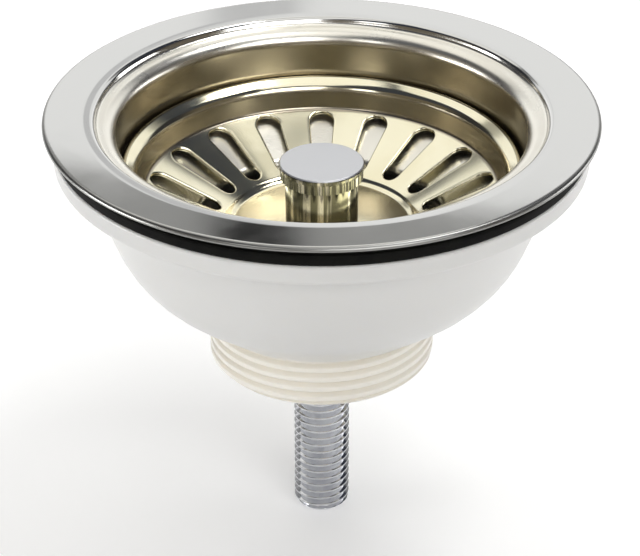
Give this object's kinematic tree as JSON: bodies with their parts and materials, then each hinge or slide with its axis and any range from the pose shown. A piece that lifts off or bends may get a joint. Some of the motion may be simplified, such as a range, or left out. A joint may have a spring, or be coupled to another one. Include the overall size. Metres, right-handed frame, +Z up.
{
  "type": "basket strainer waste",
  "caption": "Kitchen-sink basket strainer: steel flange and dish, lift-out slotted basket with knob, clamping bolt and a plastic body with a threaded outlet.",
  "frame": {"origin": "on the drain's axis, at the underside of the flange, where it seats on the sink", "axes": "+Z up along the drain's axis, out of the sink; X and Y across the flange, with a rib of the outlet along each"},
  "size_m": [0.114, 0.114, 0.097],
  "materials": {
    "pressed_steel": "satin flange, polished dish",
    "basket_steel": "polished",
    "knob_steel": "satin",
    "zinc_steel": "bright zinc",
    "brass": "machined",
    "black_rubber": "matt",
    "white_plastic": "moulded gloss"
  },
  "bodies": {
    "flange": {"flange_dish": "pressed_steel", "flange_seal": "black_rubber", "bolt_seal": "black_rubber"},
    "bolt": {"clamp_bolt": "zinc_steel", "bolt_washer": "zinc_steel"},
    "drain": {"drain_body": "white_plastic", "body_gasket": "black_rubber", "thread_insert": "brass"},
    "catch": {"catch_o_ring": "black_rubber"},
    "basket": {"basket_cup": "basket_steel", "knob_cap": "knob_steel", "knob_post": "knob_steel", "knob_stud": "zinc_steel", "stopper_seal": "black_rubber", "seal_plate": "zinc_steel", "stem_peg": "brass"}
  },
  "joints": [
    {"name": "bolt_turn", "type": "hinge", "parent": "flange", "child": "bolt", "pos_m": [0, 0, 0], "axis": [0, 0, 1], "range_deg": [0, 3600.01]},
    {"name": "body_clamp", "type": "slide", "parent": "flange", "child": "drain", "axis": [0, 0, -1], "range_m": [0, 0.0175]},
    {"name": "basket_lift", "type": "slide", "parent": "flange", "child": "catch", "axis": [0, 0, 1], "range_m": [0, 0.06]},
    {"name": "basket_turn", "type": "hinge", "parent": "catch", "child": "basket", "pos_m": [0, 0, 0], "axis": [0, 0, 1], "continuous": true}
  ],
  "couplings": [
    {"joint": "bolt_turn", "follows": "body_clamp", "rad_per_m": 3590.4}
  ]
}
